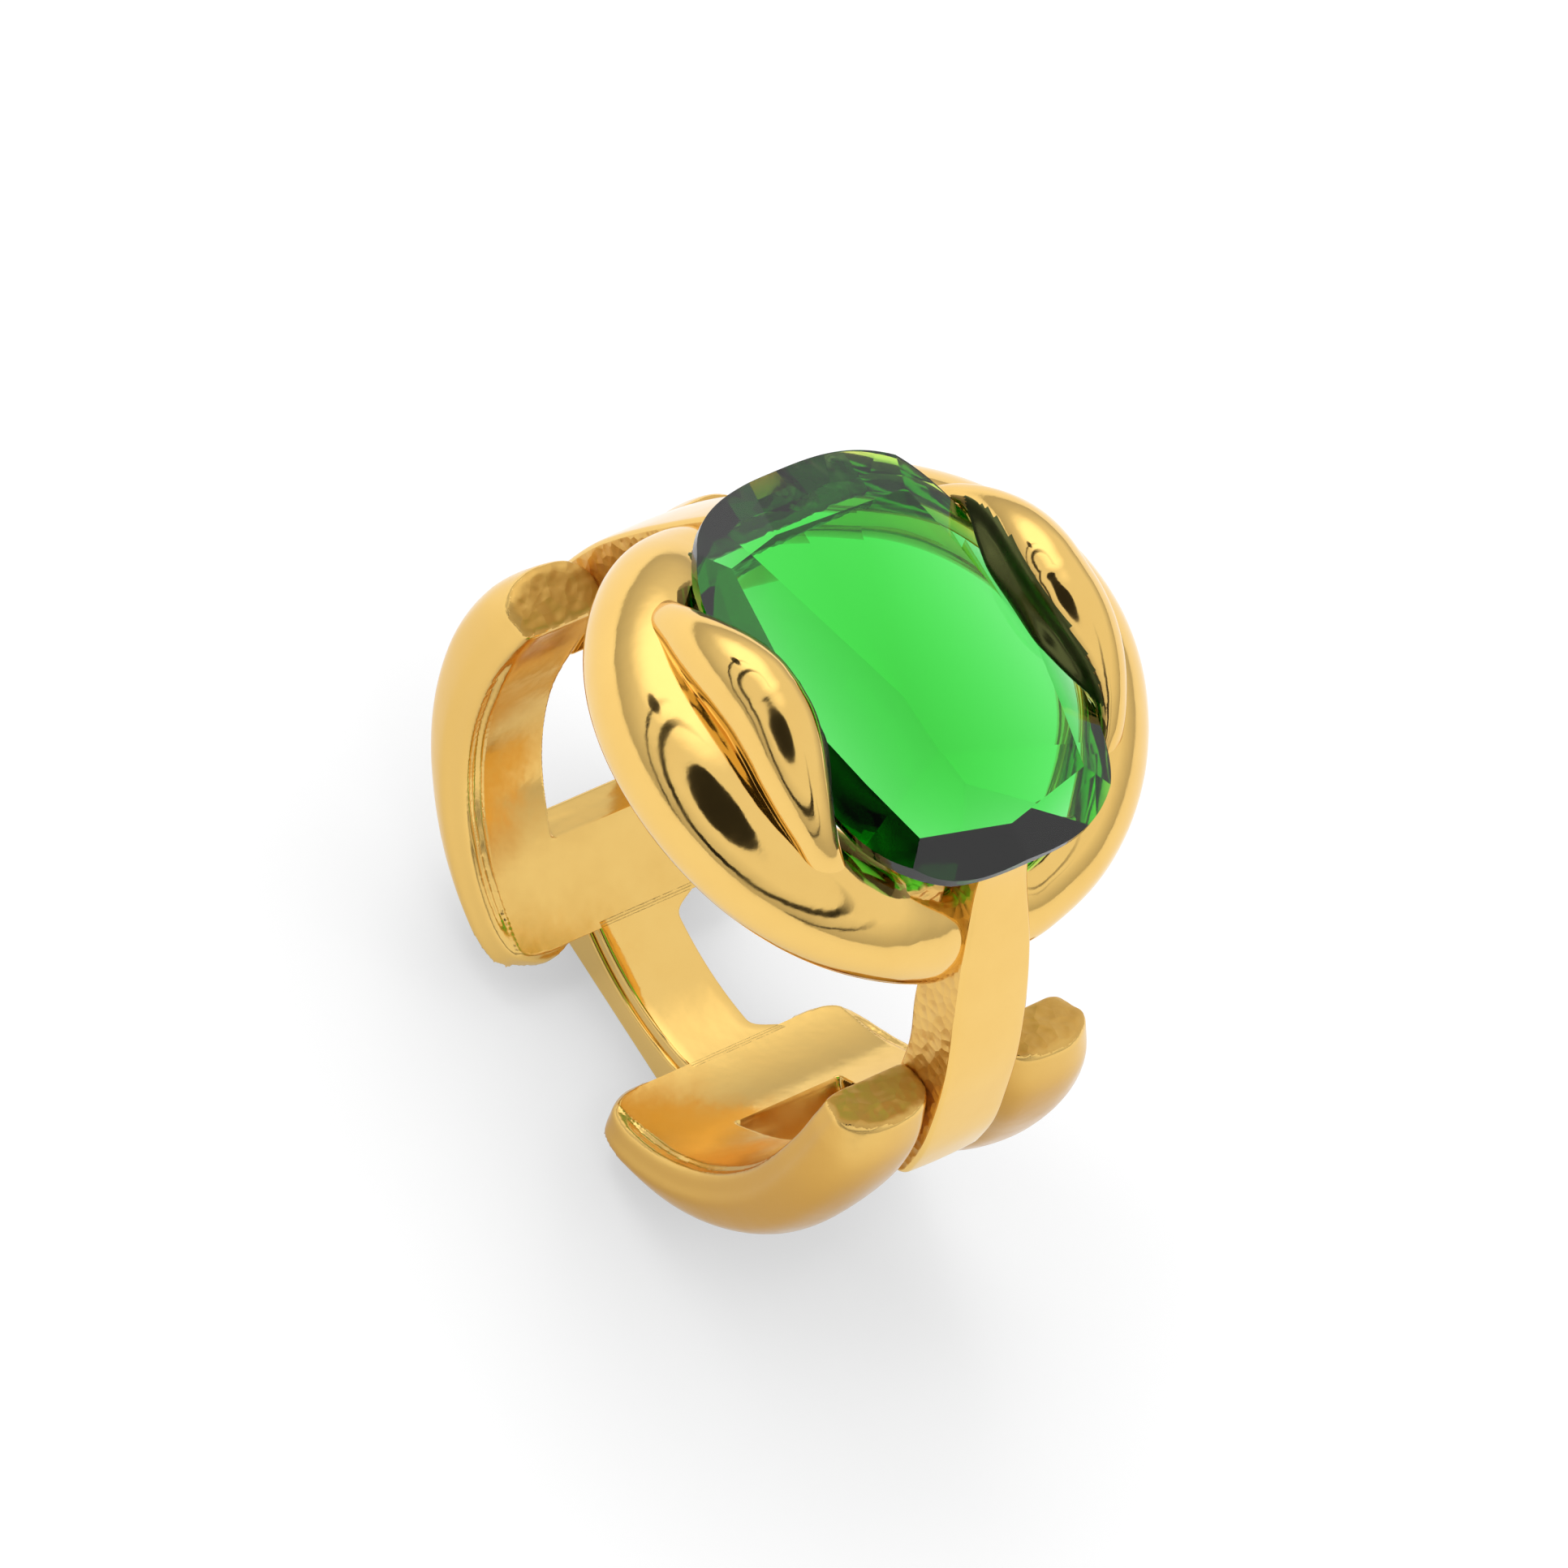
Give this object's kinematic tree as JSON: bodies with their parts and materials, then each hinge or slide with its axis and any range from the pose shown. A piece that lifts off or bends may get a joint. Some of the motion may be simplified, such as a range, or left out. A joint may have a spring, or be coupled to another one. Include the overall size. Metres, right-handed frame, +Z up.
{
  "type": "cocktail ring",
  "caption": "Chain-link band of polished gold-coloured links that carries an elongated cushion-cut green stone between folded claws.",
  "frame": {"origin": "middle of the flat underside of the base bar, which is the lowest face", "axes": "+Z up through the stone, finger axis along Y, front link on +X"},
  "size_m": [0.023, 0.0184, 0.0254],
  "materials": {
    "polished_gold": "polished yellow gold plating, mirror bright with faint casting ripple",
    "cast_gold": "as-cast yellow gold plating, pebbled and unpolished",
    "green_stone": "faceted, transparent, polished"
  },
  "bodies": {
    "root": {"stone": "green_stone", "claw_near": "polished_gold", "claw_far": "polished_gold", "loop_near": "polished_gold", "loop_far": "polished_gold", "seat_front": "cast_gold", "seat_back": "cast_gold", "strap_front": "polished_gold", "strap_back": "polished_gold", "link_front": "polished_gold", "link_back": "polished_gold", "base_bar_inner": "polished_gold", "base_bar_outer": "polished_gold"}
  },
  "joints": []
}
